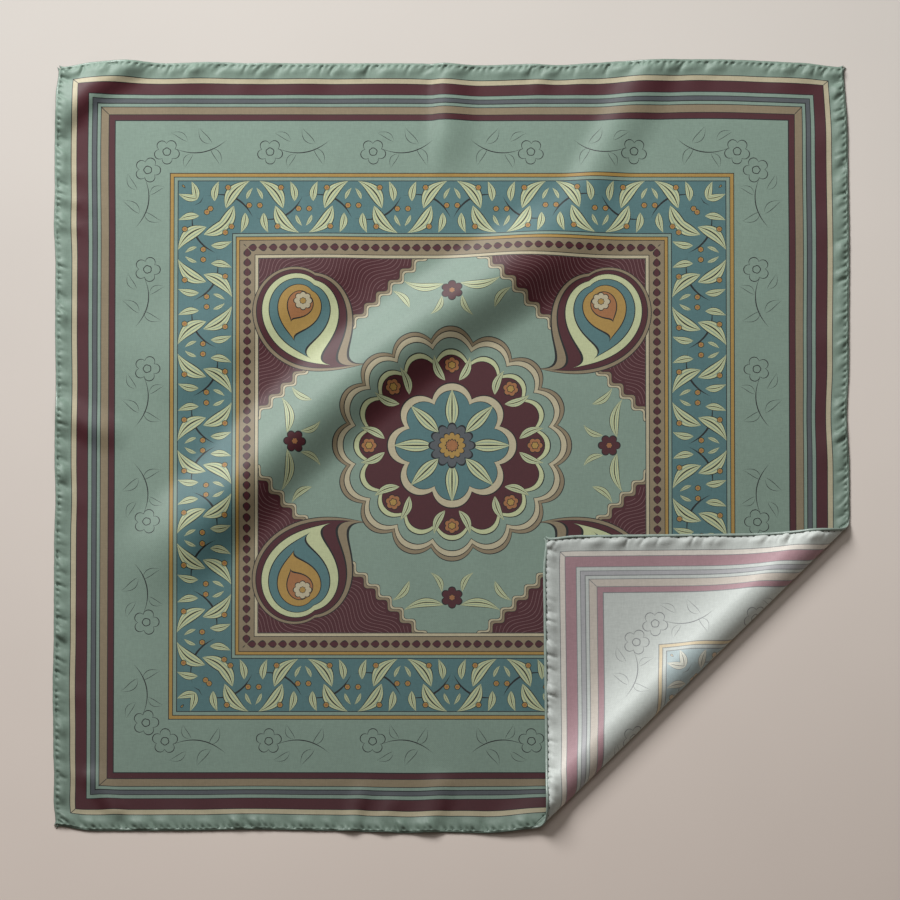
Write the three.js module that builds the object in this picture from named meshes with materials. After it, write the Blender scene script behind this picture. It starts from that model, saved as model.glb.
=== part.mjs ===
// A square silk scarf laid flat, face up, with its lower right corner turned back over it.
//
// Millimetres, +Z up, +X to the viewer's right and +Y away from the viewer. The scarf lies on
// z = 0. Every point starts on the flat cut, u across and v up from its lower left corner, and
// laid(u, v, w) gives the place where the laid cloth has it, w above the cloth's underside.

import * as THREE from 'three';

// The cut, its wall and its rolled hems
const SIDE = 900;
const CLOTH = 1.2;
const HEM_WIDTH = 3.4;
const HEM_HEIGHT = 2.6;
const HEM_SIDES = 6;
const GAP = 0.3;
const INSET = HEM_WIDTH + GAP;
const MITRE = GAP / Math.SQRT2;

// The turned corner: square to a fold at FOLD_ANGLE, the cloth starts to lift LIFT_OFF in from
// the cut's corner, bends tightly off the table, more widely over the crown of the fold, and very
// widely the other way as it settles onto the panel.
const FOLD_ANGLE = THREE.MathUtils.degToRad(45.3);
const FOLD_SIN = Math.sin(FOLD_ANGLE);
const FOLD_COS = Math.cos(FOLD_ANGLE);
const LIFT_OFF = 256.4;
const TIGHT_RADIUS = 6.4;
const TIGHT_TURN = THREE.MathUtils.degToRad(135);
const CROWN_RADIUS = 26;
const SETTLING_SLOPE = THREE.MathUtils.degToRad(25);
const TURNED_REST = CLOTH + GAP + HEM_HEIGHT;
const FOLD_HEIGHT =
  TIGHT_RADIUS * (1 - Math.cos(TIGHT_TURN)) + CROWN_RADIUS * (1 + Math.cos(TIGHT_TURN));
const SETTLING_RADIUS =
  (FOLD_HEIGHT - TURNED_REST) / (1 - Math.cos(SETTLING_SLOPE)) - CROWN_RADIUS;

// Its bends in turn, each with the spacing of its section lines.
const BENDS = [
  { name: 'off the table', radius: TIGHT_RADIUS, turn: TIGHT_TURN, step: 2.6 },
  { name: 'crown', radius: CROWN_RADIUS, turn: Math.PI - TIGHT_TURN + SETTLING_SLOPE, step: 6 },
  { name: 'settling', radius: -SETTLING_RADIUS, turn: -SETTLING_SLOPE, step: 15 },
];

// Spacing of the section lines on the rest of the cut
const FLAT_STEP = 20;
const EDGE_STEP = 12;
const EDGE_BAND = 40;
const TURNED_STEP = 16;

// Folds that stand up from the laid cloth. Each crest runs from one point of the cut to another,
// bowed to its left at the middle, with the reach of its slope on its left and on its right.
const FOLDS = [
  { name: 'long ridge', from: [72, 271], to: [650, 747], bow: 25, left: 66, right: 60, height: 21 },
  { name: 'low swell', from: [95, 492], to: [370, 700], bow: 0, left: 105, right: 46, height: 4.5 },
  { name: 'far pucker', from: [443, 1020], to: [440, 760], bow: 0, left: 42, right: 24, height: 6 },
  { name: 'far crease', from: [714, 965], to: [584, 712], bow: 0, left: 40, right: 36, height: 6 },
  { name: 'left side', from: [85, 452], to: [-70, 520], bow: 0, left: 24, right: 28, height: 5 },
  { name: 'far left', from: [-8, 794], to: [114, 932], bow: 0, left: 36, right: 36, height: 11 },
  { name: 'fold lift', from: [490, -45], to: [580, 45], bow: 0, left: 48, right: 60, height: 4 },
];

// Where the sewing draws the edges and corners of the square in or lets them out.
const PULLS = [
  { name: 'far left corner', at: [0, 900], reach: 40, move: [3, -4.5] },
  { name: 'far right corner, in', at: [900, 900], reach: 95, move: [-4.4, 0] },
  { name: 'far right corner, down', at: [900, 900], reach: 52, move: [0, -4.5] },
  { name: 'near left corner', at: [0, 0], reach: 46, move: [3, 5.8] },
  { name: 'turned corner', at: [900, 0], reach: 42, move: [-3, 3] },
  { name: 'far edge, left end', at: [74, 900], reach: 60, move: [0, 2.2] },
  { name: 'far edge, left', at: [175, 900], reach: 50, move: [0, 1.5] },
  { name: 'far edge at the pucker', at: [480, 900], reach: 85, move: [0, -2.4] },
  { name: 'far edge, middle', at: [570, 900], reach: 42, move: [0, -2.2] },
  { name: 'far edge at the crease', at: [645, 900], reach: 48, move: [0, 1.4] },
  { name: 'far edge, right', at: [740, 900], reach: 140, move: [0, 4.8] },
  { name: 'left edge, far end', at: [0, 790], reach: 120, move: [-1.5, 0] },
  { name: 'left edge, far', at: [0, 708], reach: 45, move: [-1.6, 0] },
  { name: 'left edge, middle', at: [0, 520], reach: 70, move: [0.9, 0] },
  { name: 'left edge, below it', at: [0, 388], reach: 50, move: [1.2, 0] },
  { name: 'left edge, near', at: [0, 168], reach: 60, move: [-0.9, 0] },
  { name: 'left edge, near end', at: [0, 60], reach: 40, move: [1.2, 0] },
  { name: 'right edge, far', at: [900, 680], reach: 120, move: [1.1, 0] },
  { name: 'right edge, middle', at: [900, 484], reach: 66, move: [-2.5, 0] },
  { name: 'near edge, left', at: [230, 0], reach: 85, move: [0, 1.3] },
  { name: 'near edge, middle', at: [405, 0], reach: 105, move: [0, -2.6] },
  { name: 'near edge, right', at: [494, 0], reach: 55, move: [0, -2.7] },
  { name: 'near edge at the fold', at: [566, 0], reach: 70, move: [0, 2.4] },
];

// Silk twill: the printed face, the underside, where the print shows through pale, and the
// underside's hems, which are rolls of the face and so stay darker
const SAGE = 0x7f9b8c;
const PALE_SAGE = 0xc3ccc8;
const HEM_SAGE = 0x99ada3;
const SILK_ROUGHNESS = 0.45;

// A smooth hump: 1 at x = 0, and 0 from |x| = 1 on.
function hump(x) {
  return Math.abs(x) < 1 ? Math.cos((Math.PI / 2) * x) ** 2 : 0;
}

// A fold keeps its height along its middle and fades out over the last stretch at each end.
const FADE_FROM = 0.55;

function lengthways(share) {
  const out = Math.abs(2 * share - 1);
  return out < FADE_FROM ? 1 : hump((out - FADE_FROM) / (1 - FADE_FROM));
}

// How far the folds lift the laid cloth at a point of its plan.
function lift(x, y) {
  let height = 0;
  for (const fold of FOLDS) {
    const start = new THREE.Vector2(...fold.from);
    const crest = new THREE.Vector2(...fold.to).sub(start);
    const point = new THREE.Vector2(x, y).sub(start);
    const share = point.dot(crest) / crest.lengthSq();
    const off = crest.cross(point) / crest.length() - fold.bow * hump(2 * share - 1);
    const reach = off > 0 ? fold.left : fold.right;
    height += fold.height * hump(off / reach) * lengthways(share);
  }
  return height;
}

// The section square to the fold: how far beyond the lift-off line a point lies, and how high,
// when it is `past` that line along the cloth and w in from the cloth's underside.
function rolled(past, w) {
  let beyond = 0;
  let height = 0;
  let heading = 0;
  let left = past;
  for (const { radius, turn } of BENDS) {
    const onward = heading + turn * Math.min(Math.max(left / (radius * turn), 0), 1);
    beyond += radius * (Math.sin(onward) - Math.sin(heading));
    height += radius * (Math.cos(heading) - Math.cos(onward));
    heading = onward;
    left -= radius * turn;
  }
  beyond -= Math.max(left, 0);
  return { beyond: beyond - w * Math.sin(heading), height: height + w * Math.cos(heading) };
}

// A point of the cut as how far in from its lower right corner it lies, square to the fold.
function inwardOf(u, v) {
  return (SIDE - u) * FOLD_SIN + v * FOLD_COS;
}

// The place of the cut's point (u, v), w above the cloth's underside, once the cloth is laid.
function laid(u, v, w) {
  let x = u;
  let y = v;
  for (const { at, reach, move } of PULLS) {
    const pull = hump(Math.hypot(u - at[0], v - at[1]) / reach);
    x += pull * move[0];
    y += pull * move[1];
  }
  let z = w;
  const past = LIFT_OFF - inwardOf(x, y);
  if (past > 0) {
    const along = (x - SIDE) * FOLD_COS + y * FOLD_SIN;
    const { beyond, height } = rolled(past, w);
    const inward = LIFT_OFF - beyond;
    x = SIDE + along * FOLD_COS - inward * FOLD_SIN;
    y = along * FOLD_SIN + inward * FOLD_COS;
    z = height;
  }
  return new THREE.Vector3(x - SIDE / 2, y - SIDE / 2, z + lift(x, y));
}

// Evenly spaced values from start to end, no further apart than step.
function spaced(start, end, step) {
  const count = Math.ceil(Math.abs(end - start) / step);
  return Array.from({ length: count + 1 }, (_, i) => start + ((end - start) * i) / count);
}

// Section lines across the cut: close along its edges, and at the places in `breaks`.
function lines(breaks) {
  const places = [INSET, EDGE_BAND, ...breaks, SIDE - EDGE_BAND, SIDE - INSET];
  const found = [INSET];
  for (let i = 1; i < places.length; i += 1) {
    const atEdge = i === 1 || i === places.length - 1;
    found.push(...spaced(places[i - 1], places[i], atEdge ? EDGE_STEP : FLAT_STEP).slice(1));
  }
  return found;
}

// Where the line at `past` beyond the lift-off meets the cut's right side, c in from its edge,
// and its near side, c in from that edge.
function onRightSide(past, c) {
  return [SIDE - c, (LIFT_OFF - past - c * FOLD_SIN) / FOLD_COS];
}

function onNearSide(past, c) {
  return [SIDE - (LIFT_OFF - past - c * FOLD_COS) / FOLD_SIN, c];
}

// A closed BufferGeometry from a list of points and a list of triangles.
function solid(points, triangles) {
  const geometry = new THREE.BufferGeometry();
  const positions = points.flatMap((point) => point.toArray());
  geometry.setAttribute('position', new THREE.Float32BufferAttribute(positions, 3));
  geometry.setIndex(triangles.flat());
  geometry.computeVertexNormals();
  return geometry;
}

// A wall of cloth through rows of points of the cut. Each row runs the same way, and the next
// has as many points or one fewer, down to a single one. Between rows of as many points, the
// triangles' long sides run along the long ridge.
function clothWall(rows) {
  const points = [];
  const first = [];
  for (const row of rows) {
    first.push(points.length);
    points.push(...row.map(([u, v]) => laid(u, v, CLOTH)));
  }
  const under = points.length;
  points.push(...rows.flat().map(([u, v]) => laid(u, v, 0)));

  const face = [];
  for (let r = 0; r + 1 < rows.length; r += 1) {
    const fewer = rows[r].length - rows[r + 1].length;
    let i = 0;
    let j = 0;
    while (i < rows[r].length - 1 || j < rows[r + 1].length - 1) {
      const here = first[r] + i;
      const above = first[r + 1] + j;
      if (i < j + fewer && i < rows[r].length - 1) {
        face.push([here, here + 1, above]);
        i += 1;
      } else {
        face.push([here, above + 1, above]);
        j += 1;
      }
    }
  }

  const last = rows.length - 1;
  const rim = [
    ...rows[0].map((_, i) => i),
    ...rows.slice(1).map((row, i) => first[i + 1] + row.length - 1),
    ...rows[last].slice(1).map((_, i) => first[last] + rows[last].length - 2 - i),
    ...first.slice(1, last).reverse(),
  ];
  const back = face.map(([a, b, c]) => [under + a, under + c, under + b]);
  const edge = rim.flatMap((from, i) => {
    const to = rim[(i + 1) % rim.length];
    return [[from, under + from, under + to], [from, under + to, to]];
  });
  return solid(points, [...face, ...back, ...edge]);
}

// A rolled hem: a tube whose rings are `stations`, functions from c, in from the cut's edge, to
// the point of the cut there. The cloth lies on the given hand of the way the stations run.
function rolledHem(stations, clothOn) {
  const section = Array.from({ length: HEM_SIDES }, (_, i) => {
    const angle = (2 * Math.PI * i) / HEM_SIDES;
    const c = (HEM_WIDTH / 2) * (1 + Math.cos(angle));
    const w = (HEM_HEIGHT / 2) * (1 + Math.sin(angle) / Math.sin(Math.PI / 3));
    return { c, w };
  });
  const points = stations.flatMap((at) => section.map(({ c, w }) => laid(...at(c), w)));
  const triangles = [];
  for (let s = 0; s + 1 < stations.length; s += 1) {
    for (let i = 0; i < HEM_SIDES; i += 1) {
      const a = s * HEM_SIDES + i;
      const b = s * HEM_SIDES + ((i + 1) % HEM_SIDES);
      triangles.push([a, b + HEM_SIDES, b], [a, a + HEM_SIDES, b + HEM_SIDES]);
    }
  }
  const end = points.length - HEM_SIDES;
  for (let i = 1; i + 1 < HEM_SIDES; i += 1) {
    triangles.push([0, i, i + 1], [end, end + i + 1, end + i]);
  }
  return solid(points, clothOn === 'right' ? triangles : triangles.map(([a, b, c]) => [a, c, b]));
}

// One named piece of the scarf, in silk of the given colour.
function cloth(name, color, geometry) {
  const silk = new THREE.MeshStandardMaterial({ color, roughness: SILK_ROUGHNESS, metalness: 0 });
  const mesh = new THREE.Mesh(geometry, silk);
  mesh.name = name;
  return mesh;
}

// Rows of the panel at each v, cut short at the lift-off line by half a gap.
const [, liftOffV] = onRightSide(-GAP / 2, INSET);
const columns = lines([]);
const rowPlaces = lines([liftOffV]);

function columnsAt(v) {
  const [foldU] = onNearSide(-GAP / 2, v);
  const end = Math.min(foldU, SIDE - INSET);
  const full = SIDE - 2 * INSET;
  return columns.map((u) => INSET + ((u - INSET) * (end - INSET)) / full);
}

const panelRows = rowPlaces.map((v) => columnsAt(v).map((u) => [u, v]));

// Rows of the turned corner, parallel to the fold, each with one point fewer than the last.
const cornerPast = LIFT_OFF - inwardOf(SIDE - INSET, INSET);
const turnedPlaces = [GAP / 2];
let bentTo = 0;
for (const { radius, turn, step } of BENDS) {
  bentTo += radius * turn;
  turnedPlaces.push(...spaced(turnedPlaces.at(-1), bentTo, step).slice(1));
}
turnedPlaces.push(...spaced(bentTo, cornerPast, TURNED_STEP).slice(1));
const turnedRows = turnedPlaces.map((past, row) => {
  const steps = turnedPlaces.length - 1 - row;
  if (steps === 0) {
    return [[SIDE - INSET, INSET]];
  }
  const near = onNearSide(past, INSET);
  const far = onRightSide(past, INSET);
  return Array.from({ length: steps + 1 }, (_, i) => [
    far[0] + ((near[0] - far[0]) * i) / steps,
    far[1] + ((near[1] - far[1]) * i) / steps,
  ]);
});

// Stations of the hems follow the section lines of the cloth beside them, mitred at the corners.
const inner = (list) => list.slice(1, -1);
const nearEnd = (c) => c + MITRE;
const farEnd = (c) => SIDE - c - MITRE;

const leftStations = [
  (c) => [c, nearEnd(c)],
  ...inner(rowPlaces).map((v) => (c) => [c, v]),
  (c) => [c, farEnd(c)],
];
const topStations = [
  (c) => [nearEnd(c), SIDE - c],
  ...inner(columns).map((u) => (c) => [u, SIDE - c]),
  (c) => [farEnd(c), SIDE - c],
];
const rightStations = [
  (c) => onRightSide(-GAP / 2, c),
  ...inner(rowPlaces).filter((v) => v > liftOffV + GAP).map((v) => (c) => [SIDE - c, v]),
  (c) => [SIDE - c, farEnd(c)],
];
const bottomStations = [
  (c) => [nearEnd(c), c],
  ...inner(columnsAt(INSET)).map((u) => (c) => [u, c]),
  (c) => onNearSide(-GAP / 2, c),
];
const turnedTopStations = [
  ...turnedPlaces.slice(0, -1).map((past) => (c) => onRightSide(past, c)),
  (c) => [SIDE - c, nearEnd(c)],
];
const turnedSideStations = [
  ...turnedPlaces.slice(0, -1).map((past) => (c) => onNearSide(past, c)),
  (c) => [farEnd(c), c],
];

const scarf = new THREE.Group();
scarf.add(
  cloth('panel', SAGE, clothWall(panelRows)),
  cloth('turned_corner', PALE_SAGE, clothWall(turnedRows)),
  cloth('hem_left', SAGE, rolledHem(leftStations, 'right')),
  cloth('hem_top', SAGE, rolledHem(topStations, 'right')),
  cloth('hem_right', SAGE, rolledHem(rightStations, 'left')),
  cloth('hem_bottom', SAGE, rolledHem(bottomStations, 'left')),
  cloth('hem_turned_top', HEM_SAGE, rolledHem(turnedTopStations, 'right')),
  cloth('hem_turned_side', HEM_SAGE, rolledHem(turnedSideStations, 'left')),
);

// The origin is the centre of the scarf's plan, on the surface it lies on.
const box = new THREE.Box3().setFromObject(scarf);
const centre = box.getCenter(new THREE.Vector3());
scarf.position.set(-centre.x, -centre.y, -box.min.z);

export default scarf;
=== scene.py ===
import math

import bmesh
import bpy
import numpy as np
from mathutils import Matrix, Vector


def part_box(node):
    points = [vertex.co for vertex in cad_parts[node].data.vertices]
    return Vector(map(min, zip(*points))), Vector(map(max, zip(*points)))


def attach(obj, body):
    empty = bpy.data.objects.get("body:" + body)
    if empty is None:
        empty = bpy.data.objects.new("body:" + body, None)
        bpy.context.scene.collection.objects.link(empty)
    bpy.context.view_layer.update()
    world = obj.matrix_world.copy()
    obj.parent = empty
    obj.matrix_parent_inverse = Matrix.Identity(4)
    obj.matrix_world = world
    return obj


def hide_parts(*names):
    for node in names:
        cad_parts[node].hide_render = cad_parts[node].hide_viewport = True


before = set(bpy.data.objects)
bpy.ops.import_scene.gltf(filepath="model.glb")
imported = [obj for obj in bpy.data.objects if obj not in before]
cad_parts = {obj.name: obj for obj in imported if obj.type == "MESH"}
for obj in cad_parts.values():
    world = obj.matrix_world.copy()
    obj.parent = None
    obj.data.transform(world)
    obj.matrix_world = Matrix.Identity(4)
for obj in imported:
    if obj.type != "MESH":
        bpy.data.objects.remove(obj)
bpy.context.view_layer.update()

# The view. The scarf lies on a table and is seen from its near side, from high up and a long way
# off, so that its sides run almost parallel. Lengths in this file are in millimetres until a mesh
# is finished.
MM = 0.001
PHOTO_SIDE = 900
VIEW_ELEVATION = math.radians(75.0)
VIEW_DISTANCE = 26000
PIXELS_PER_MM = 0.8832
AIM = Vector((-1.8, -6.1, 0.0))
SENSOR = 36

towards_viewer = Vector((0, -math.cos(VIEW_ELEVATION), math.sin(VIEW_ELEVATION)))
lens = bpy.data.cameras.new("camera")
lens.sensor_width = SENSOR
lens.lens = PIXELS_PER_MM * VIEW_DISTANCE * SENSOR / PHOTO_SIDE
lens.clip_end = 2 * VIEW_DISTANCE * MM
camera = bpy.data.objects.new("camera", lens)
camera.location = (AIM + VIEW_DISTANCE * towards_viewer) * MM
camera.rotation_euler = (math.pi / 2 - VIEW_ELEVATION, 0, 0)
bpy.context.scene.collection.objects.link(camera)
bpy.context.scene.camera = camera
bpy.context.scene.view_settings.view_transform = "Standard"


# Face-up silk. One square of 90 cm silk twill, laid flat by hand: soft ridges stay in it where it
# was pushed, its sewn edges pucker, and near one corner it lifts off the table into a rolled fold.
SIDE = 900
FOLD_ANGLE = math.radians(45.3)
LIFT_OFF = 256.4
ROLL_RADIUS = 6.4
CROWN_RADIUS = 26
TIGHT_TURN = math.radians(135)
SETTLING_SLOPE = math.radians(25)
TURNED_REST = 4.1
FOLD_HEIGHT = (ROLL_RADIUS * (1 - math.cos(TIGHT_TURN))
               + CROWN_RADIUS * (1 + math.cos(TIGHT_TURN)))
SETTLING_RADIUS = (FOLD_HEIGHT - TURNED_REST) / (1 - math.cos(SETTLING_SLOPE)) - CROWN_RADIUS
ROLLED_LENGTH = TIGHT_TURN * ROLL_RADIUS + (math.pi - TIGHT_TURN) * CROWN_RADIUS

# The fold, square to its line: a tight bend off the table, a wide one over the crown and a very
# wide one the other way, in which the cloth settles. Radius and turn of each
BENDS = (
    (ROLL_RADIUS, TIGHT_TURN),
    (CROWN_RADIUS, math.pi - TIGHT_TURN + SETTLING_SLOPE),
    (-SETTLING_RADIUS, -SETTLING_SLOPE),
)

# Crest from, crest to, sideways bow of its middle, reach on its left and right, height
FOLDS = (
    ((72, 271), (650, 747), 25, 66, 60, 21),  # long diagonal ridge
    ((95, 492), (370, 700), 0, 105, 46, 4.5),  # low swell above it
    ((443, 1020), (440, 760), 0, 42, 18, 7),  # pucker at the far edge
    ((714, 965), (584, 712), 0, 40, 36, 6),  # crease on the far right
    ((85, 452), (-70, 520), 0, 24, 28, 5),  # near edge of the left side
    ((-14, 818), (108, 914), 6, 36, 25, 9),  # far left corner
    ((490, -45), (580, 45), 0, 48, 60, 4),  # lift beside the fold
    ((36, 76), (78, 8), 0, 20, 15, 3.5),  # small creases of the near edge
    ((330, -30), (352, 58), 0, 18, 13, 2.6),
    ((366, -28), (384, 46), 0, 15, 20, 2.0),
    ((418, -34), (446, 72), 0, 30, 17, 3.2),
    ((545, 1010), (548, 850), 0, 22, 16, 1.6),  # small creases of the far edge
    ((262, 1000), (230, 870), 0, 34, 26, 1.8),
)

# Where the sewing draws an edge or a corner in or lets it out: place, reach, move
PULLS = (
    ((0, 900), 40, (3, -4.5)),  # corners
    ((900, 900), 95, (-4.4, 0)),
    ((900, 900), 52, (0, -4.5)),
    ((0, 0), 46, (3, 5.8)),
    ((900, 0), 42, (-3, 3)),
    ((74, 900), 60, (0, 2.2)),  # far edge
    ((175, 900), 50, (0, 1.5)),
    ((480, 900), 85, (0, -2.4)),
    ((570, 900), 42, (0, -2.2)),
    ((645, 900), 48, (0, 1.4)),
    ((740, 900), 140, (0, 4.8)),
    ((0, 790), 120, (-1.5, 0)),  # left edge
    ((0, 708), 45, (-1.6, 0)),
    ((0, 520), 70, (0.9, 0)),
    ((0, 388), 50, (1.2, 0)),
    ((0, 168), 60, (-0.9, 0)),
    ((0, 60), 40, (1.2, 0)),
    ((900, 680), 120, (1.1, 0)),  # right edge
    ((900, 484), 66, (-2.5, 0)),
    ((230, 0), 85, (0, 1.3)),  # near edge
    ((405, 0), 105, (0, -2.6)),
    ((494, 0), 55, (0, -2.7)),
    ((566, 0), 70, (0, 2.4)),
)


def hump(x):
    """A smooth hump: 1 at x = 0, and 0 from |x| = 1 on."""
    return np.cos(np.pi / 2 * np.clip(x, -1, 1)) ** 2


# Low waves beside the sewn edges: place along the side, reach, height. They are highest at their
# middle, so far in from the edge, and lean along the side as they run inwards.
WAVE_MIDDLE = 13
WAVE_LEAN = 0.3
EDGE_WAVES = {
    "left": ((72, 16, 0.8), (165, 20, 1.0), (262, 26, 1.0), (392, 22, 1.0), (610, 24, 1.0),
             (655, 26, 1.4), (712, 11, 1.6), (742, 12, 2.0), (776, 12, 1.2)),
    "far": ((152, 41, 2.4), (223, 22, 1.0), (288, 41, 2.4), (380, 66, 2.6), (559, 16, 1.0),
            (603, 22, 1.6), (665, 48, 2.4), (729, 28, 1.8), (841, 36, 2.6)),
    "right": ((455, 34, 1.2), (585, 34, 1.4), (715, 38, 1.4), (822, 36, 1.6)),
    "near": ((146, 34, 1.2), (210, 40, 1.0), (476, 20, 1.0)),
}


def edge_waves(x, y):
    """How far the waves beside the sewn edges lift the laid cloth at a point of its plan. The
    hems themselves stay down."""
    height = 0
    sides = {"left": (y, x), "far": (x, SIDE - y), "right": (y, SIDE - x), "near": (x, y)}
    for side, (s, c) in sides.items():
        out = np.maximum(c, 0) / WAVE_MIDDLE
        fade = out * np.exp(1 - out)
        for at, reach, top in EDGE_WAVES[side]:
            height = height + top * fade * hump((s + WAVE_LEAN * c - at) / reach)
    return height


def lift(x, y):
    """How far the folds lift the laid cloth at a point of its plan. Each fades towards its ends."""
    fade_from = 0.55
    height = edge_waves(x, y)
    for start, end, bow, left, right, top in FOLDS:
        crest = np.subtract(end, start)
        length = np.hypot(*crest)
        share = ((x - start[0]) * crest[0] + (y - start[1]) * crest[1]) / length**2
        off = ((y - start[1]) * crest[0] - (x - start[0]) * crest[1]) / length
        off = off - bow * hump(2 * share - 1)
        out = np.maximum((np.abs(2 * share - 1) - fade_from) / (1 - fade_from), 0)
        height = height + top * hump(off / np.where(off > 0, left, right)) * hump(out)
    return height


def rolled(past, w):
    """Square to the fold: how far beyond the lift-off line, and how high, a point lies that is
    `past` that line along the cloth and w in from the underside."""
    beyond, height, heading = 0, 0, 0
    for radius, turn in BENDS:
        onward = heading + turn * np.clip(past / (radius * turn), 0, 1)
        beyond = beyond + radius * (np.sin(onward) - np.sin(heading))
        height = height + radius * (np.cos(heading) - np.cos(onward))
        heading = onward
        past = past - radius * turn
    beyond = beyond - np.maximum(past, 0)
    return beyond - w * np.sin(heading), height + w * np.cos(heading)


def past_lift_off(u, v):
    """How far a point of the cut lies beyond the line where the cloth lifts off the table."""
    return LIFT_OFF - (SIDE - u) * math.sin(FOLD_ANGLE) - v * math.cos(FOLD_ANGLE)


def laid(u, v, w):
    """The place in the frame, in millimetres, of the cut's point (u, v), w above its underside."""
    x, y = u, v
    for (at_u, at_v), reach, move in PULLS:
        pull = hump(np.hypot(u - at_u, v - at_v) / reach)
        x, y = x + pull * move[0], y + pull * move[1]
    sin, cos = math.sin(FOLD_ANGLE), math.cos(FOLD_ANGLE)
    past = past_lift_off(x, y)
    along = (x - SIDE) * cos + y * sin
    beyond, height = rolled(past, w)
    inward = LIFT_OFF - beyond
    x = np.where(past > 0, SIDE + along * cos - inward * sin, x)
    y = np.where(past > 0, along * sin + inward * cos, y)
    z = np.where(past > 0, height, w) + lift(x, y)
    return np.stack((x, y, z), axis=-1) - CENTRE


# The frame's origin is the centre of the laid scarf's plan, so the cut's place in it is found by
# laying its left and near edges and setting them against the solids' box.
EDGE_STEP = 0.5
HEM_MIDDLE = 1.3
UNTURNED_NEAR = 500
CENTRE = np.zeros(3)
edge = np.linspace(0, SIDE, int(SIDE / EDGE_STEP) + 1)
unturned = edge[edge < UNTURNED_NEAR]
CENTRE = np.array((
    laid(0 * edge, edge, HEM_MIDDLE + 0 * edge)[:, 0].min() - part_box("hem_left")[0][0] / MM,
    laid(unturned, 0 * unturned, HEM_MIDDLE + 0 * unturned)[:, 1].min()
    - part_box("hem_bottom")[0][1] / MM,
    0,
))

# The roll of the hem covers the cloth's edge. Each of its stitches draws a pit beside the roll,
# and from some of them a slanted pucker runs on into the flat cloth.
HEM_WIDTH = 3.4
HEM_HEIGHT = 2.0
TUCKED_IN = 1.7
STITCH_PITCH = 7.8
STITCH_DRIFT = 0.22
STITCH_SLANT = 0.45
STITCH_REACH = 2.1
STITCH_IN = 3.8
FACE_HEIGHT = 0.8
LOWEST_FACE = 0.15
SILK_THICKNESS = 0.35
ROOT_RISE = 1.2
ROOT_MIDDLE = 2.6
ROOT_REACH = 3.4
PIT_DEPTH = 1.75
PIT_REACH = (1.3, 2.6)
PIT_BEHIND = 0.7
PUFF_HEIGHT = 1.9
PUFF_CONTRAST = 1.35
PUFF_MIDDLE = 9
PUFF_REACH = 10.5
PUCKER_DEPTH = 2.6
PUCKER_PITCH = 17
PUCKER_DRIFT = 0.3
PUCKER_SLANT = 0.55
PUCKER_REACH = 2.8


def waver(s, seed, *lengths):
    """An uneven wave along an edge, from -1 to 1, made of waves of a few lengths."""
    waves = [np.sin(2 * np.pi * s / l + seed * (2.3 + 1.7 * i)) for i, l in enumerate(lengths)]
    return sum(waves) / len(lengths)


def chance(n, seed):
    """A fixed but uneven number from 0 to 1 for the nth of a row."""
    return np.mod(np.sin(n * 12.9898 + seed * 78.233) * 43758.5453, 1)


def stitch_phase(s, c, seed):
    """A number that is whole at each stitch of a side."""
    return (s + STITCH_SLANT * c) / STITCH_PITCH + STITCH_DRIFT * waver(s, seed, 109, 45, 23)


def stitch_pits(s, c, seed):
    """How near a place along a side is to a stitch: about 1 at it, and 0 between stitches."""
    phase = stitch_phase(s, c, seed)
    firm = 0.4 + 0.8 * chance(np.round(phase), seed)
    return firm * np.exp(-(((phase - np.round(phase)) * STITCH_PITCH / STITCH_REACH) ** 2))


def slanted_puckers(s, c, seed):
    """How near a place along a side is to a slanted pucker: up to 1 on it, and 0 between them."""
    phase = (s + PUCKER_SLANT * c) / PUCKER_PITCH + PUCKER_DRIFT * waver(s, seed + 2, 83, 47)
    deep = chance(np.round(phase), seed + 5)
    return deep * np.exp(-(((phase - np.round(phase)) * PUCKER_PITCH / PUCKER_REACH) ** 2))


def puckered(u, v):
    """How far the cloth's face stands above the smooth cloth's underside. Near the sewn edges it
    puffs up between puckers and pits. Past the fold the same relief is seen from behind."""
    height = np.full_like(u, FACE_HEIGHT)
    back = np.clip(past_lift_off(u, v) / ROLLED_LENGTH, 0, 1)
    for seed, (s, c) in enumerate(((v, u), (u, SIDE - v), (v, SIDE - u), (u, v)), 1):
        size = 0.85 + 0.45 * waver(s, seed + 4, 173, 97)
        band = size * hump((c - PUFF_MIDDLE) / PUFF_REACH)
        uneven = 1 + PUFF_CONTRAST * waver(s + 0.4 * c, seed, 61, 27, 37)
        puff = PUFF_HEIGHT * np.maximum(uneven, -0.1) * band
        pucker = PUCKER_DEPTH * slanted_puckers(s, c, seed) * band
        root = np.exp(-(((c - ROOT_MIDDLE) / ROOT_REACH) ** 2))
        pit = np.exp(-(((c - STITCH_IN) / np.where(c < STITCH_IN, *PIT_REACH)) ** 2))
        pit = PIT_DEPTH * pit * stitch_pits(s, c, seed) * (1 - PIT_BEHIND * back)
        height = height + ROOT_RISE * root + (puff - pucker - pit) * (1 - 2 * back)
    return np.where(back > 0, height, np.maximum(height, LOWEST_FACE))


# The shell's cells are 7.5 mm wide, halved in each band beside the edges and once in the roll
CELLS = 120
EDGE_BANDS = (30, 15, 7.5)
ROLL_BAND = (-9, 60)


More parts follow.
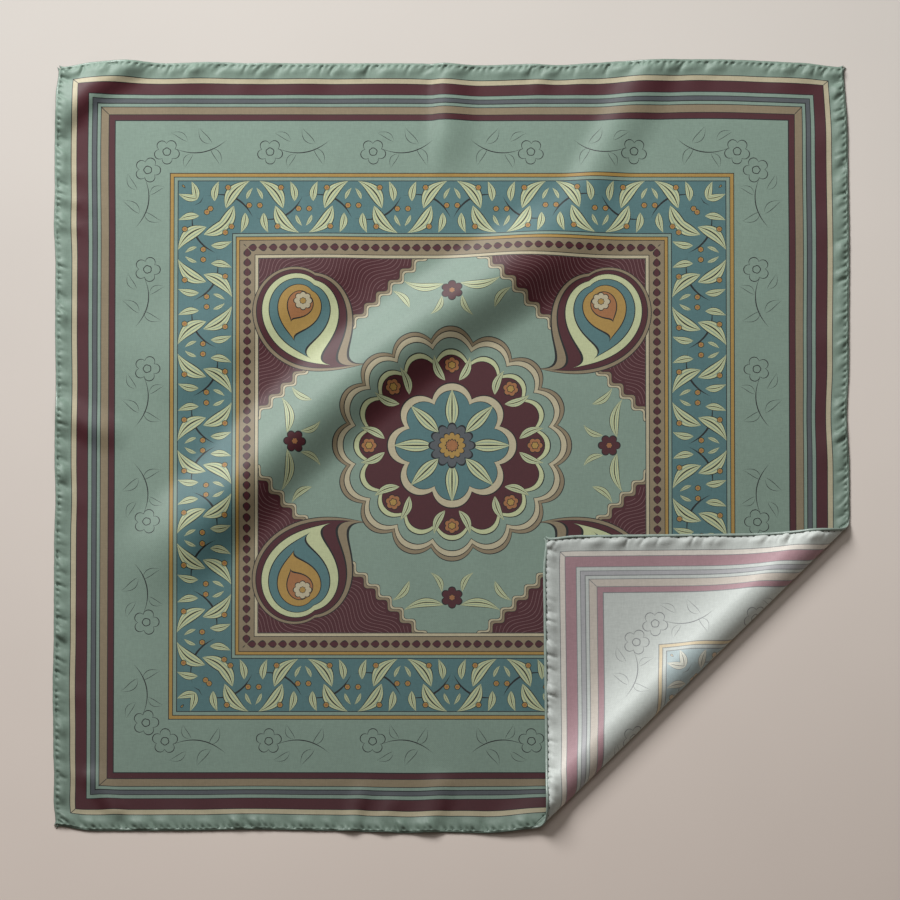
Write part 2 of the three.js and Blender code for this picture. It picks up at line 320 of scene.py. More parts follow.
def silk_piece(name, turned, inks):
    """One stretch of the square as a thin closed shell: the panel, or the turned corner."""
    bm = bmesh.new()
    half = SIDE / 2 - TUCKED_IN
    bmesh.ops.create_grid(bm, x_segments=CELLS, y_segments=CELLS, size=half)
    bmesh.ops.translate(bm, verts=bm.verts, vec=(SIDE / 2, SIDE / 2, 0))

    def depth(vert):
        return min(vert.co.x, vert.co.y, SIDE - vert.co.x, SIDE - vert.co.y)

    def in_roll(vert):
        return ROLL_BAND[0] < past_lift_off(vert.co.x, vert.co.y) < ROLL_BAND[1]

    for band in EDGE_BANDS:
        close = [
            e for e in bm.edges
            if all(depth(p) < band or (in_roll(p) and band == EDGE_BANDS[0]) for p in e.verts)
        ]
        bmesh.ops.subdivide_edges(bm, edges=close, cuts=1, use_grid_fill=True)
    on_line = Vector((SIDE - LIFT_OFF / math.sin(FOLD_ANGLE), 0, 0))
    into_corner = Vector((math.sin(FOLD_ANGLE), -math.cos(FOLD_ANGLE), 0))
    bmesh.ops.bisect_plane(
        bm, geom=bm.verts[:] + bm.edges[:] + bm.faces[:], plane_co=on_line, plane_no=into_corner,
        clear_outer=not turned, clear_inner=turned,
    )
    cut = bm.loops.layers.uv.new("cut")
    for face in bm.faces:
        face.smooth = True
        for loop in face.loops:
            loop[cut].uv = loop.vert.co.xy / SIDE
    u, v, _ = np.array([p.co for p in bm.verts]).T
    for vert, place in zip(bm.verts, laid(u, v, puckered(u, v)) * MM):
        vert.co = place
    bmesh.ops.triangulate(bm, faces=bm.faces[:])
    mesh = bpy.data.meshes.new(name)
    bm.to_mesh(mesh)
    bm.free()
    piece = bpy.data.objects.new(name, mesh)
    bpy.context.scene.collection.objects.link(piece)
    for ink in inks:
        mesh.materials.append(ink)
    shell = piece.modifiers.new("silk thickness", "SOLIDIFY")
    shell.thickness = SILK_THICKNESS * MM
    shell.offset = -1
    shell.material_offset = 1
    shell.material_offset_rim = 1
    return piece


# Printed inks. Screen-printed dyes on silk: sage ground, with burgundy, tan, teal, ochre and
# pale green, each shape held by a fine near-black outline.
INKS = {
    "sage": "#73877b",
    "border": "#728579",
    "line": "#15191a",
    # The edge ink is painted shade for the hem roll's shaded side and groove. The thread ink is a dark     thread whose darkness also stands for the shade in the stitch pits
    "edge": "#38423b",
    "thread": "#414d46",
    "hem behind": "#8f9f96",
    "burgundy": "#431c22",
    "hair": "#75595a",
    "tan": "#7b6f59",
    "teal": "#48696b",
    "leaf": "#a9b089",
    "cream": "#a79f85",
    "ochre": "#96793f",
    "orange": "#8d5f3b",
    "slate": "#4b5054",
}


def linear(colour):
    """An sRGB hex colour as linear red, green, blue and alpha."""
    parts = [int(colour[i:i + 2], 16) / 255 for i in (1, 3, 5)]
    return [c / 12.92 if c <= 0.04045 else ((c + 0.055) / 1.055) ** 2.4 for c in parts] + [1]


def add(tree, kind, *feeds, stops=None, **settings):
    """Adds a shader node. Feeds go to its inputs in order: a node, a socket, a value, or None to
    skip one. Stops are a colour ramp's steps, each a place and an ink, or None for no ink."""
    node = tree.nodes.new("ShaderNode" + kind)
    for key, value in settings.items():
        setattr(node, key, value)
    for socket, feed in zip([s for s in node.inputs if s.enabled], feeds):
        if isinstance(feed, bpy.types.Node):
            tree.links.new(next(s for s in feed.outputs if s.enabled), socket)
        elif isinstance(feed, bpy.types.NodeSocket):
            tree.links.new(feed, socket)
        elif feed is not None:
            socket.default_value = feed
    if stops:
        ramp = node.color_ramp
        ramp.interpolation = "CONSTANT"
        while len(ramp.elements) < len(stops):
            ramp.elements.new(1)
        for (place, ink), step in zip(stops, ramp.elements):
            step.position = place
            step.color = linear(INKS[ink]) if ink else (0, 0, 0, 0)
    return node


# Motif outlines, drawn as a level that is 0 at a shape's heart and 1 at its outline. A blossom
# is a circle whose rim is notched between petals, and a leaf a pointed oval on a bent midrib.
def motif(name, sizes):
    """An empty motif group with a place and named sizes as inputs, and a level as output."""
    group = bpy.data.node_groups.new(name, "ShaderNodeTree")
    group.interface.new_socket("Place", in_out="INPUT", socket_type="NodeSocketVector")
    for size in sizes:
        group.interface.new_socket(size, in_out="INPUT", socket_type="NodeSocketFloat")
    group.interface.new_socket("Level", in_out="OUTPUT", socket_type="NodeSocketFloat")
    return group, group.nodes.new("NodeGroupInput").outputs, group.nodes.new("NodeGroupOutput")


blossom, given, out = motif("blossom outline", ("Petals", "Radius", "Notch"))
xy = add(blossom, "SeparateXYZ", given["Place"])
angle = add(blossom, "Math", xy.outputs[1], xy.outputs[0], operation="ARCTAN2")
turns = add(blossom, "Math", angle, given["Petals"], operation="MULTIPLY")
turns = add(blossom, "Math", turns, 2 * math.pi, operation="DIVIDE")
from_tip = add(blossom, "Math", turns, 0.5, operation="PINGPONG")
from_tip = add(blossom, "Math", from_tip, 2.0, operation="MULTIPLY")
from_tip = add(blossom, "Math", from_tip, 2.2, operation="POWER")
notch = add(blossom, "Math", from_tip, given["Notch"], operation="MULTIPLY")
rim = add(blossom, "Math", 1.0, notch, operation="SUBTRACT")
rim = add(blossom, "Math", rim, given["Radius"], operation="MULTIPLY")
far = add(blossom, "VectorMath", given["Place"], operation="LENGTH")
level = add(blossom, "Math", far, rim, operation="DIVIDE")
blossom.links.new(level.outputs[0], out.inputs[0])

leaf, given, out = motif("leaf outline", ("Length", "Width", "Bend"))
xy = add(leaf, "SeparateXYZ", given["Place"])
half = add(leaf, "Math", given["Length"], 0.5, operation="MULTIPLY")
run = add(leaf, "Math", xy.outputs[0], half, operation="DIVIDE")
run = add(leaf, "Math", run, 1.0, operation="MINIMUM")
square = add(leaf, "Math", run, run, operation="MULTIPLY")
swell = add(leaf, "Math", 1.0, square, operation="SUBTRACT")
swell = add(leaf, "Math", swell, 0.0001, operation="MAXIMUM")
rib = add(leaf, "Math", swell, given["Bend"], operation="MULTIPLY")
off_rib = add(leaf, "Math", xy.outputs[1], rib, operation="SUBTRACT")
off_rib = add(leaf, "Math", off_rib, operation="ABSOLUTE")
lean = add(leaf, "Math", run, -0.3, 0.9, operation="MULTIPLY_ADD")
reach = add(leaf, "Math", swell, lean, operation="MULTIPLY")
reach = add(leaf, "Math", reach, given["Width"], operation="MULTIPLY")
reach = add(leaf, "Math", reach, 0.5, operation="MULTIPLY")
level = add(leaf, "Math", off_rib, reach, operation="DIVIDE")
leaf.links.new(level.outputs[0], out.inputs[0])


# A paisley is a drop whose tip is curled round: its rim is drawn out to a point on one side, and
# each ring of it is turned by its distance from the heart.
drop, given, out = motif("paisley outline", ("Radius", "Slimness", "Curl"))
far = add(drop, "VectorMath", given["Place"], operation="LENGTH")
curled = add(drop, "Math", far, given["Curl"], operation="MULTIPLY")
here = add(drop, "VectorRotate", given["Place"], None, curled, rotation_type="Z_AXIS")
xy = add(drop, "SeparateXYZ", here)
angle = add(drop, "Math", xy.outputs[1], xy.outputs[0], operation="ARCTAN2")
from_tip = add(drop, "Math", angle, operation="ABSOLUTE")
from_tip = add(drop, "Math", from_tip, math.pi, operation="DIVIDE")
from_tip = add(drop, "Math", from_tip, 0.42, operation="POWER")
slim = add(drop, "Math", from_tip, given["Slimness"], operation="MULTIPLY")
rim = add(drop, "Math", 1.0, slim, operation="SUBTRACT")
rim = add(drop, "Math", rim, given["Radius"], operation="MULTIPLY")
level = add(drop, "Math", far, rim, operation="DIVIDE")
drop.links.new(level.outputs[0], out.inputs[0])


# The printed design, on the cut's own coordinates in millimetres from its centre: a plain border,
# mitred stripes, an airy field of drawn sprigs, a teal band with a leaf garland, a tan band of
# lozenges, and a centre field with a medallion and four paisleys.
design = bpy.data.node_groups.new("printed design", "ShaderNodeTree")
design.interface.new_socket("Colour", in_out="OUTPUT", socket_type="NodeSocketColor")
cut = add(design, "UVMap", uv_map="cut")
place = add(design, "VectorMath", cut, (0.5, 0.5, 0), operation="SUBTRACT")
place = add(design, "VectorMath", place, (SIDE, SIDE, 0), operation="MULTIPLY")
folded = add(design, "VectorMath", place, operation="ABSOLUTE")
xy = add(design, "SeparateXYZ", folded)
out_by = add(design, "Math", xy.outputs[0], xy.outputs[1], operation="MAXIMUM")
beside = add(design, "Math", xy.outputs[0], xy.outputs[1], operation="MINIMUM")
depth = add(design, "Math", SIDE / 2, out_by, operation="SUBTRACT")
octant = add(design, "CombineXYZ", out_by, beside)

# Outer and inner limit of each group of stripes, in from the edge, and where each stripe starts.
# A fine outline parts one stripe from the next.
OUTLINE = 0.9
STRIPES = (
    (0, 70, (
        (0, "border"), (18.2, "cream"), (24.4, "burgundy"), (37, "sage"), (41.6, "slate"),
        (47, "sage"), (51.2, "tan"), (60.2, "burgundy"), (67.2, "sage"),
    )),
    (125, 145, ((125, "sage"), (129.5, "ochre"), (134, "sage"), (138.5, "teal"))),
    (197, 232, (
        (197, "teal"), (200.5, "sage"), (204.5, "ochre"), (208.5, "tan"), (226, "cream"),
        (230, "sage"),
    )),
)
colour = None
for outer, inner, bands in STRIPES:
    span = inner - outer
    stops = [(0, bands[0][1])]
    for at, ink in bands[1:]:
        stops += [((at - outer) / span, "line"), ((at + OUTLINE - outer) / span, ink)]
    share = add(design, "MapRange", depth, outer, inner)
    band = add(design, "ValToRGB", share, stops=stops)
    within = add(design, "Math", depth, outer, operation="GREATER_THAN")
    colour = add(design, "Mix", within, colour, band, data_type="RGBA") if colour else band


# The stripes' wide bands are mitred: a hair line joins their corners
MITRE_HAIR = 0.55
MITRED = ((18.2, 24.4), (51.2, 60.2))
off_mitre = add(design, "Math", out_by, beside, operation="SUBTRACT")
on_mitre = add(design, "Math", off_mitre, MITRE_HAIR, operation="LESS_THAN")
for outer, inner in MITRED:
    past_outer = add(design, "Math", depth, outer, operation="GREATER_THAN")
    before_inner = add(design, "Math", depth, inner, operation="LESS_THAN")
    here = add(design, "Math", past_outer, before_inner, operation="MULTIPLY")
    here = add(design, "Math", here, on_mitre, operation="MULTIPLY")
    colour = add(design, "Mix", here, colour, linear(INKS["line"]), data_type="RGBA")


def repeat_along(middle, pitch, alternate=False):
    """A place in the repeat of a band: along it from the cell's middle, and inwards from the
    band's. In every other cell of an alternating band, the second is turned about."""
    along = add(design, "Math", beside, pitch, 0.0, operation="WRAP")
    along = add(design, "Math", along, pitch / 2, operation="SUBTRACT")
    inwards = add(design, "Math", depth, middle, operation="SUBTRACT")
    if alternate:
        pair = add(design, "Math", beside, 2 * pitch, 0.0, operation="WRAP")
        second = add(design, "Math", pair, pitch, operation="GREATER_THAN")
        sign = add(design, "Math", second, -2.0, 1.0, operation="MULTIPLY_ADD")
        inwards = add(design, "Math", inwards, sign, operation="MULTIPLY")
    return add(design, "CombineXYZ", along, inwards)


def print_motif(colour, spot, shape, sizes, stops, at=(0, 0), turn=0):
    """Prints a motif over the colour so far, in rings from its heart to its outline."""
    turned = (0, 0, math.radians(turn))
    here = add(design, "Mapping", spot, (*at, 0), turned, vector_type="TEXTURE")
    level = add(design, "Group", here, *sizes, node_tree=shape)
    rings = add(design, "ValToRGB", level, stops=stops)
    return add(design, "Mix", rings.outputs["Alpha"], colour, rings, data_type="RGBA")


# Sprigs of a stem, leaves and an open blossom, drawn in outline
DRAWN = ((0, None), (0.84, "line"), (1, None))
THREAD = ((0, "line"), (1, None))
VEINED = ((0, "line"), (0.1, "leaf"), (0.42, "sage"), (0.55, "leaf"), (0.86, "line"), (1, None))
BERRY = ((0, "orange"), (0.45, "ochre"), (0.78, "line"), (1, None))
SPRIG_MIDDLE = 98.5
SPRIG_PITCH = 117.2
SPRIG_BLOSSOM = (31, 6)
SPRIG = (
    # length, width, bend, place, turn, rings
    (64, 1.3, 11, (-6, -4), 8, THREAD),
    (24, 9, 3, (-24, 12), 118, DRAWN),
    (25, 9.5, 3, (-13, -13), -52, DRAWN),
    (20, 8, -3, (6, 17), 62, DRAWN),
    (22, 8, -3, (17, -11), -28, DRAWN),
)
spot = repeat_along(SPRIG_MIDDLE, SPRIG_PITCH)
for length, width, bend, at, turn, rings in SPRIG:
    colour = print_motif(colour, spot, leaf, (length, width, bend), rings, at, turn)
colour = print_motif(
    colour, spot, blossom, (5.0, 15.0, 0.34), ((0, "sage"), (0.93, "line"), (1, None)),
    SPRIG_BLOSSOM, 20)
colour = print_motif(
    colour, spot, blossom, (5.0, 5.0, 0.1), ((0, "sage"), (0.8, "line"), (1, None)),
    SPRIG_BLOSSOM, 56)

# The leaf garland and its berries, turned about in every other repeat
GARLAND_MIDDLE = 169.7
GARLAND_PITCH = 56.06
GARLAND = (
    (59, 2.4, -12, (0, 0), -26, THREAD),
    (42, 17, 6, (9, 14.5), 50, VEINED),
    (42, 17, 6, (-9, -14.5), -130, VEINED),
    (24, 10, 2, (-15, 18.5), 78, VEINED),
    (24, 10, 2, (15, -18.5), -102, VEINED),
    (15, 5, 1, (22.5, 16), 62, VEINED),
    (15, 5, 1, (-22.5, -16), -118, VEINED),
)
spot = repeat_along(GARLAND_MIDDLE, GARLAND_PITCH, alternate=True)
for length, width, bend, at, turn, rings in GARLAND:
    colour = print_motif(colour, spot, leaf, (length, width, bend), rings, at, turn)
for at in ((22, 2), (-22, -2), (-2, 23), (2, -23)):
    colour = print_motif(colour, spot, blossom, (6.0, 3.6, 0.1), BERRY, at)

# Lozenges
LOZENGE_MIDDLE = 217.7
LOZENGE_PITCH = 11.61
spot = repeat_along(LOZENGE_MIDDLE, LOZENGE_PITCH)
colour = print_motif(
    colour, spot, leaf, (10.4, 9.6, 0), ((0, "burgundy"), (0.72, "line"), (1, None)))

# Burgundy corners of the centre field, drawn over with hair lines and edged with a wavy braid
BRAID_PITCH = 27.0
BRAID_WAVE = 4.5
BRAID_RUN = (240, 290)
FIELD_FROM = 231.0
HAIR_PITCH = 6.5
HAIR_SHARE = 0.11
HAIR_WAVE = 9.0
HAIR_TURN = 0.075
HAIR_FROM = 0.52
past_corner = add(design, "Math", xy.outputs[0], xy.outputs[1], operation="ADD")
along = add(design, "Math", xy.outputs[0], xy.outputs[1], operation="SUBTRACT")
scallop = add(design, "Math", along, 2 * math.pi / BRAID_PITCH, operation="MULTIPLY")
scallop = add(design, "Math", scallop, operation="COSINE")
braid = add(design, "Math", scallop, BRAID_WAVE, past_corner, operation="MULTIPLY_ADD")
share = add(design, "MapRange", braid, *BRAID_RUN)
braid = add(design, "ValToRGB", share, stops=(
    (0, None), (0.2, "line"), (0.22, "cream"), (0.29, "line"), (0.31, "tan"), (0.4, "line"),
    (0.42, "burgundy"),
))
in_field = add(design, "Math", depth, FIELD_FROM, operation="GREATER_THAN")
here = add(design, "Math", braid.outputs["Alpha"], in_field, operation="MULTIPLY")
colour = add(design, "Mix", here, colour, braid, data_type="RGBA")
ripple = add(design, "Math", along, HAIR_TURN, operation="MULTIPLY")
ripple = add(design, "Math", ripple, operation="SINE")
ripple = add(design, "Math", ripple, HAIR_WAVE, past_corner, operation="MULTIPLY_ADD")
ripple = add(design, "Math", ripple, HAIR_PITCH, operation="DIVIDE")
ripple = add(design, "Math", ripple, operation="FRACT")
hair = add(design, "Math", ripple, HAIR_SHARE, operation="LESS_THAN")
inner_corner = add(design, "Math", share, HAIR_FROM, operation="GREATER_THAN")
hair = add(design, "Math", hair, inner_corner, operation="MULTIPLY")
here = add(design, "Math", hair, in_field, operation="MULTIPLY")
colour = add(design, "Mix", here, colour, linear(INKS["hair"]), data_type="RGBA")

# A paisley in each corner of the field, with a blossom at its heart, and small leaves and a
# blossom between them
PAISLEY_PLACE = (169, 169)
PAISLEY = (
    (0, "orange"), (0.24, "line"), (0.26, "ochre"), (0.42, "line"), (0.44, "teal"), (0.6, "line"),
    (0.62, "leaf"), (0.76, "line"), (0.78, "burgundy"), (0.89, "line"), (0.91, "tan"),
    (0.98, "line"), (1, None),
)
colour = print_motif(colour, folded, drop, (112, 0.68, 0.016), PAISLEY, PAISLEY_PLACE, 325)
colour = print_motif(
    colour, folded, blossom, (8.0, 11.0, 0.2),
    ((0, "ochre"), (0.3, "line"), (0.36, "cream"), (0.9, "line"), (1, None)), PAISLEY_PLACE)
FILLERS = (
    (46, 12, 6, (190, 32), 82, VEINED),
    (30, 9, -4, (170, 58), 40, VEINED),
    (26, 8, 4, (160, 18), 150, VEINED),
)
for length, width, bend, at, turn, rings in FILLERS:
    colour = print_motif(colour, octant, leaf, (length, width, bend), rings, at, turn)
colour = print_motif(
    colour, octant, blossom, (6.0, 13.0, 0.28),
    ((0, "orange"), (0.25, "line"), (0.3, "burgundy"), (0.9, "line"), (1, None)), (178, 0))

# The medallion: petalled rounds inside each other, with a leaf and sprigs in each of its spokes
MEDALLION = (
    # petals, radius, notch, rings
    (16.0, 136.0, 0.1, ((0, "sage"), (0.9, "line"), (0.91, "cream"), (0.95, "line"), (0.958, "tan"),
                        (0.99, "line"), (1, None))),
    (16.0, 112.0, 0.12, ((0, "burgundy"), (0.93, "line"), (0.94, "leaf"), (0.985, "line"),
                         (1, None))),
    (8.0, 74.0, 0.2, ((0, "teal"), (0.86, "line"), (0.875, "cream"), (0.98, "line"), (1, None))),
)
SPOKE = math.pi / 8
for petals, radius, notch, rings in MEDALLION:
    colour = print_motif(colour, place, blossom, (petals, radius, notch), rings)
xy = add(design, "SeparateXYZ", place)
angle = add(design, "Math", xy.outputs[1], xy.outputs[0], operation="ARCTAN2")
spoke = add(design, "Math", angle, SPOKE, -SPOKE, operation="WRAP")
far = add(design, "VectorMath", place, operation="LENGTH")
along = add(design, "Math", add(design, "Math", spoke, operation="COSINE"), far,
            operation="MULTIPLY")
across = add(design, "Math", add(design, "Math", spoke, operation="SINE"), far,
             operation="MULTIPLY")
spot = add(design, "CombineXYZ", along, across)
for sizes, at, turn in (
    ((44, 17, 0), (44, 0), 0),
    ((30, 11, 3), (90, 14), 24),
    ((30, 11, -3), (90, -14), -24),
):
    colour = print_motif(colour, spot, leaf, sizes, VEINED, at, turn)
colour = print_motif(colour, spot, blossom, (6.0, 9.5, 0.24),
                     ((0, "ochre"), (0.4, "line"), (0.5, "orange"), (0.88, "line"), (1, None)),
                     (94, 0))
colour = print_motif(
    colour, place, blossom, (12.0, 27.0, 0.22),
    ((0, "orange"), (0.25, "line"), (0.29, "ochre"), (0.55, "line"), (0.59, "slate"),
     (0.92, "line"), (1, None)))
out = design.nodes.new("NodeGroupOutput")
design.links.new(next(s for s in colour.outputs if s.enabled), out.inputs[0])

# Silk twill, woven from filament silk and calendered: smooth, with a soft satin sheen and a fine
# diagonal line. The line is really 0.4 mm apart and is drawn four times as coarse, to show. The
# dye soaks through pale, and the silk's tone differs a little from yarn to yarn. Painted shade
# also darkens the face towards the near edge.
TWILL_PITCH = 1.6
TWILL_DEPTH = 0.03
SILK_ROUGHNESS = 0.5
SILK_GLOSS = 0.28
SOAKED_THROUGH = 0.295
UNDERSIDE_SILK = "#eeebec"
YARN_STRETCHES = ((160, 1000, 400), (1000, 160, 400))
YARN_SHADES = (0.95, 1.05)
CLOUD_SCALE = 14.0
CLOUD_SHADES = (0.96, 1.03)

# Painted shade towards the near edge, and painted light and shade across the turned corner from
# its fold to its tip: from, to and the shade at each
NEAR_PAINTED_SHADE = (-0.45, 0.1, 0.9, 1.0)
FLAP_PAINTED_LIGHT = (0.48, 0.6, 1.2, 0.8)


def silk(name, underside, plain=None, roughness=SILK_ROUGHNESS, gloss=SILK_GLOSS):
    """Printed silk, or the same silk dyed in one ink. The underside shows the inks paler."""
    material = bpy.data.materials.new(name)
    material.use_nodes = True
    tree = material.node_tree
    colour = linear(INKS[plain]) if plain else add(tree, "Group", node_tree=design)
    if underside:
        pale = add(tree, "Gamma", colour, SOAKED_THROUGH)
        colour = add(tree, "MixRGB", 1.0, pale, linear(UNDERSIDE_SILK), blend_type="MULTIPLY")
    where = add(tree, "TexCoord").outputs["Object"]
    cloudy = add(tree, "TexNoise", where, CLOUD_SCALE, 3.0)
    shade = add(tree, "MapRange", cloudy, 0.3, 0.7, *CLOUD_SHADES)
    for stretch in YARN_STRETCHES:
        yarn = add(tree, "Mapping", where, None, None, stretch)
        yarn = add(tree, "TexNoise", yarn, 1.0, 2.0)
        yarn = add(tree, "MapRange", yarn, 0.3, 0.7, *YARN_SHADES)
        shade = add(tree, "Math", shade, yarn, operation="MULTIPLY")
    # Painted shade: the silk is darker towards the near edge
    near = add(tree, "SeparateXYZ", where)
    near_painted_shade = add(tree, "MapRange", near.outputs[1], *NEAR_PAINTED_SHADE)
    shade = add(tree, "Math", shade, near_painted_shade, operation="MULTIPLY")
    colour = add(tree, "MixRGB", 1.0, colour, shade, blend_type="MULTIPLY")
    # Painted light just past the fold, and painted shade towards the turned corner's tip
    if underside and not plain:
        spot = add(tree, "UVMap", uv_map="cut")
        into_corner = (math.sin(FOLD_ANGLE), -math.cos(FOLD_ANGLE), 0)
        flap_painted_light = add(tree, "VectorMath", spot, into_corner, operation="DOT_PRODUCT")
        flap_painted_light = add(tree, "MapRange", flap_painted_light.outputs["Value"], *FLAP_PAINTED_LIGHT)
        colour = add(tree, "MixRGB", 1.0, colour, flap_painted_light, blend_type="MULTIPLY")
    diagonal = 2 * math.pi / (TWILL_PITCH * math.sqrt(2))
    if plain:
        spot = where
        diagonal /= MM
    else:
        spot = add(tree, "UVMap", uv_map="cut")
        diagonal *= SIDE
    twill = add(tree, "VectorMath", spot, (diagonal, diagonal, 0), operation="DOT_PRODUCT")
    twill = add(tree, "Math", twill, operation="SINE")
    bump = add(tree, "Bump", 0.5, TWILL_DEPTH * MM, None, twill)
    surface = tree.nodes["Principled BSDF"]
    surface.inputs["Roughness"].default_value = roughness
    surface.inputs["Specular IOR Level"].default_value = gloss
    tree.links.new(colour.outputs[0], surface.inputs["Base Color"])
    tree.links.new(bump.outputs[0], surface.inputs["Normal"])
    return material


silk_face = silk("silk twill, printed face", underside=False)
silk_back = silk("silk twill, underside", underside=True)
face_up = silk_piece("silk_face_up", False, (silk_face, silk_back))
turned_back = silk_piece("silk_turned_corner", True, (silk_face, silk_back))
for piece, node, slot in (
    (face_up, "panel", "silk_face"), (turned_back, "turned_corner", "silk_underside"),
):
    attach(piece, "root")
    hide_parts(node)


# Hand-rolled hem. The edge is rolled over between finger and thumb into a thin roll and held by
# hidden slip stitches, each of which draws a small pit across the roll. At the corners the roll
# is drawn out to a nib. A strip along one side of the roll is painted shade: the roll's shaded
# outer side, or the groove on its inner side behind the turned corner.
ROLL_ROUGHNESS = 0.36
ROLL_GLOSS = 0.55
ROLL_UNEVENNESS = 0.07
ROLL_PINCH = 0.42
HEM_AROUND = 12
HEM_STEP = 1.0
NIB = 1.7
NIB_REACH = 3.6
PAINTED_SHADE_FROM = 0.6
STITCH_LENGTH = 3.2
STITCH_UP = 0.75
THREAD_RADIUS = 0.36
ALONG_SIDE = {
    "left": lambda s, c: (c, s),
    "far": lambda s, c: (s, SIDE - c),
    "right": lambda s, c: (SIDE - c, s),
    "near": lambda s, c: (s, c),
}
SEEDS = {"left": 1, "far": 2, "right": 3, "near": 4}


def rolled_hem(name, node, side, start, end, inks, painted_shade_side=-1, firm=1.0):
    """A roll along one side, from one end to the other: each end is a place along the side for a
    distance c in from the edge, so that the ends can be mitred or cut askew. Its side painted in
    shade is the outer, -1, or the inner, 1, and its stitches are drawn as tight as firm."""
    steps = int(abs(end(0) - start(0)) / HEM_STEP)
    bm = bmesh.new()
    bmesh.ops.create_grid(bm, x_segments=steps, y_segments=HEM_AROUND, size=1)
    t, turn, _ = np.array([p.co for p in bm.verts]).T
    across, up = np.cos(np.pi * turn), np.sin(np.pi * turn)
    c = HEM_WIDTH / 2 * (1 + across)
    s = start(c) + (end(c) - start(c)) * (t + 1) / 2
    pit = firm * stitch_pits(s, HEM_WIDTH, SEEDS[side]) * (0.55 + 0.45 * across)
    fat = 1 + ROLL_UNEVENNESS * waver(s, SEEDS[side] + 3, 31, 13) - ROLL_PINCH * pit
    nib = NIB * (np.exp(-((s / NIB_REACH) ** 2)) + np.exp(-(((SIDE - s) / NIB_REACH) ** 2)))
    c = HEM_WIDTH / 2 * (1 + across * fat) - nib
    w = HEM_HEIGHT / 2 * (1 + up * fat)
    for vert, place in zip(bm.verts, laid(*ALONG_SIDE[side](s, c), w) * MM):
        vert.co = place
    # Faces on the shaded side of the roll take the second ink, which is painted shade
    dark = {vert for vert, place in zip(bm.verts, across) if place * painted_shade_side > PAINTED_SHADE_FROM}
    for face in bm.faces:
        face.material_index = int(dark.issuperset(face.verts))
    bmesh.ops.remove_doubles(bm, verts=bm.verts, dist=1e-6)
    bmesh.ops.holes_fill(bm, edges=[e for e in bm.edges if e.is_boundary], sides=0)
    bmesh.ops.recalc_face_normals(bm, faces=bm.faces)
    stitches = bmesh.new()
    s = np.linspace(start(STITCH_IN), end(STITCH_IN), 20 * steps)
    whole = np.floor(stitch_phase(s, STITCH_IN, SEEDS[side]))
    for at in s[1:][whole[1:] != whole[:-1]]:
        half = STITCH_LENGTH * (0.3 + 0.25 * chance(at, SEEDS[side]))
        ends = np.array((at - half, at + half))
        first, last = laid(*ALONG_SIDE[side](ends, 0 * ends + STITCH_IN), 0 * ends + STITCH_UP)
        run = Vector(last - first) * MM
        place = Matrix.Translation(Vector(first + last) / 2 * MM)
        place = place @ run.to_track_quat("X", "Z").to_matrix().to_4x4()
        place = place @ Matrix.Diagonal((run.length / 2, THREAD_RADIUS * MM, THREAD_RADIUS * MM, 1))
        bmesh.ops.create_uvsphere(stitches, u_segments=8, v_segments=6, radius=1, matrix=place)
    for face in stitches.faces:
        face.material_index = 2
    mesh = bpy.data.meshes.new(name)
    stitches.to_mesh(mesh)
    stitches.free()
    bm.from_mesh(mesh)
    for face in bm.faces:
        face.smooth = True
    bm.to_mesh(mesh)
    bm.free()
    for ink in inks:
        mesh.materials.append(ink)
    piece = bpy.data.objects.new(name, mesh)
    bpy.context.scene.collection.objects.link(piece)
    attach(piece, "root")
    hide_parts(node)
    return piece


# Where a hem starts or ends, c in from the edge: mitred at the square's corners, and cut along
# the lift-off line at the fold
def from_corner(c):
    return c


def to_corner(c):
    return SIDE - c


def right_line(c):
    return (LIFT_OFF - c * math.sin(FOLD_ANGLE)) / math.cos(FOLD_ANGLE)


def near_line(c):
    return SIDE - (LIFT_OFF - c * math.cos(FOLD_ANGLE)) / math.sin(FOLD_ANGLE)


# Painted shade for the roll's shaded side and groove
roll_painted_shade = silk("silk twill, painted shade along the roll", False, "edge")
# Real stitches, but their dark thread also stands as painted shade in the stitch pits
thread = silk("dark silk thread, also painted pit shade", False, "thread")
hem_silk = silk("silk twill, rolled hem", False, "border", ROLL_ROUGHNESS, ROLL_GLOSS)
hem_back = silk("silk twill, hem from behind", False, "hem behind", ROLL_ROUGHNESS, ROLL_GLOSS)
LOOSE = 0.4
hem_inks = (hem_silk, roll_painted_shade, thread)
# Behind the turned corner the stitches take the painted shade ink
hem_back_inks = (hem_back, roll_painted_shade, roll_painted_shade)
hems = [
    rolled_hem("hem_left_side", "hem_left", "left",
               from_corner, to_corner, hem_inks),
    rolled_hem("hem_far_side", "hem_top", "far",
               from_corner, to_corner, hem_inks),
    rolled_hem("hem_right_side", "hem_right", "right",
               right_line, to_corner, hem_inks),
    rolled_hem("hem_near_side", "hem_bottom", "near",
               from_corner, near_line, hem_inks),
    rolled_hem("hem_turned_far", "hem_turned_top", "right",
               right_line, from_corner, hem_back_inks, 1, LOOSE),
    rolled_hem("hem_turned_left", "hem_turned_side", "near",
               near_line, to_corner, hem_back_inks, 1, LOOSE),
]
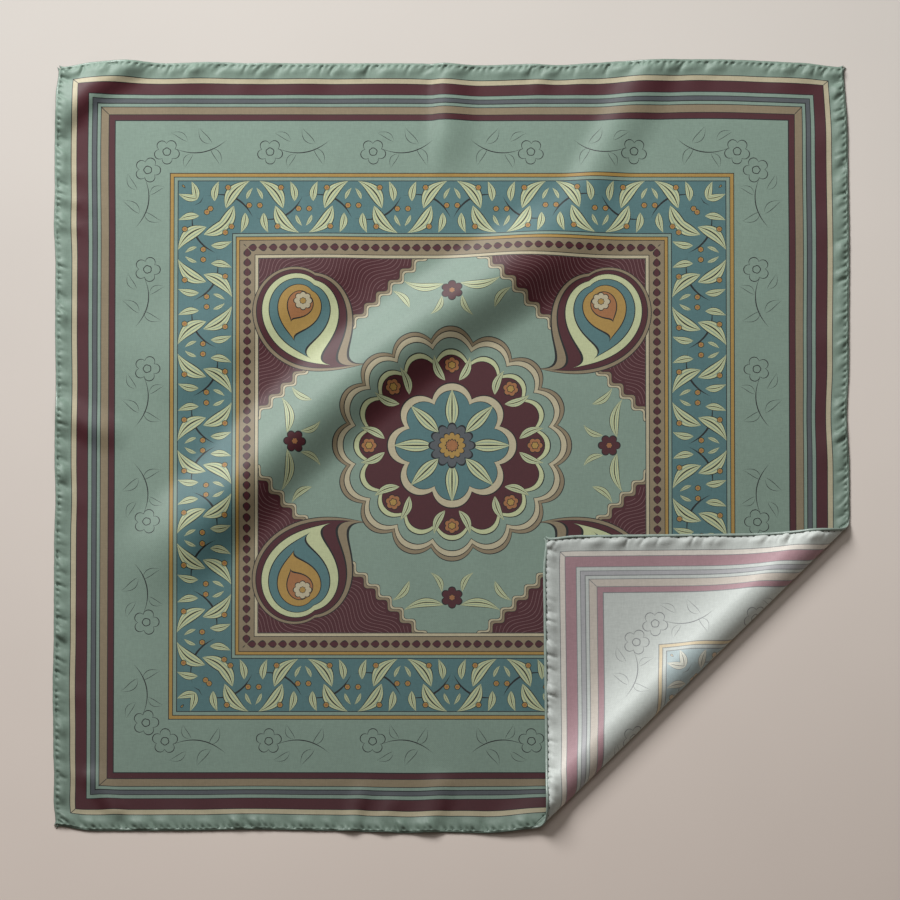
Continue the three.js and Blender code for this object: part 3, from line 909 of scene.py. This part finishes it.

# The table that the scarf lies on: a wide, smooth, matt surface in pale warm stone, honed in one
# piece. Painted light makes it a little paler away from the viewer, and painted shade makes it
# darker towards the window.
TABLE_HALF = 6
TABLE_BELOW = 0.2
STONE_NEAR = "#d3c7be"
STONE_AWAY = "#d6d0c9"
TOWARDS_WINDOW = (-0.5, 0.87, 0)
WINDOW_PAINTED_SHADE = (-0.25, 1.1, 1.03, 0.5)
table_bm = bmesh.new()
bmesh.ops.create_grid(table_bm, x_segments=1, y_segments=1, size=TABLE_HALF)
bmesh.ops.translate(table_bm, verts=table_bm.verts, vec=(0, 0, -TABLE_BELOW * MM))
table_mesh = bpy.data.meshes.new("table")
table_bm.to_mesh(table_mesh)
table_bm.free()
table = bpy.data.objects.new("table", table_mesh)
bpy.context.scene.collection.objects.link(table)
stone = bpy.data.materials.new("matt pale stone")
stone.use_nodes = True
spot = add(stone.node_tree, "TexCoord").outputs["Object"]
grain = add(stone.node_tree, "TexNoise", spot, 5.0)
tint = add(stone.node_tree, "MapRange", grain, 0.3, 0.7, 0.985, 1.01)
# Painted light: the stone is paler away from the viewer
away = add(stone.node_tree, "SeparateXYZ", spot)
away = add(stone.node_tree, "MapRange", away.outputs[1], -0.5, 0.5)
pale = add(stone.node_tree, "MixRGB", away, linear(STONE_NEAR), linear(STONE_AWAY))
tint = add(stone.node_tree, "MixRGB", 1.0, pale, tint, blend_type="MULTIPLY")
# Painted shade: the stone is darker towards the window
far = add(stone.node_tree, "VectorMath", spot, TOWARDS_WINDOW, operation="DOT_PRODUCT")
window_painted_shade = add(stone.node_tree, "MapRange", far.outputs["Value"], *WINDOW_PAINTED_SHADE)
tint = add(stone.node_tree, "MixRGB", 1.0, tint, window_painted_shade, blend_type="MULTIPLY")
matt = stone.node_tree.nodes["Principled BSDF"]
matt.inputs["Roughness"].default_value = 0.75
stone.node_tree.links.new(tint.outputs[0], matt.inputs["Base Color"])
table_mesh.materials.append(stone)

# Light: a broad window far off beyond the far left corner, low enough to rake the folds, a weak
# soft lamp above the far right, and a dim room all round. Name, place, size and power of each.
LAMPS = (
    ("window", (-1.07, 1.86, 1.5), 1.2, 97),
    ("ceiling lamp", (0.4, 0.9, 2.4), 1.6, 9),
)
ROOM_COLOUR = "#ebddce"
ROOM_STRENGTH = 0.13
for name, spot, size, power in LAMPS:
    lamp = bpy.data.lights.new(name, "AREA")
    lamp.shape = "SQUARE"
    lamp.size = size
    lamp.energy = power
    light = bpy.data.objects.new(name, lamp)
    light.location = spot
    light.rotation_euler = (-light.location).to_track_quat("-Z", "Y").to_euler()
    bpy.context.scene.collection.objects.link(light)
room = bpy.data.worlds.new("room")
room.use_nodes = True
room.node_tree.nodes["Background"].inputs["Color"].default_value = linear(ROOM_COLOUR)
room.node_tree.nodes["Background"].inputs["Strength"].default_value = ROOM_STRENGTH
bpy.context.scene.world = room
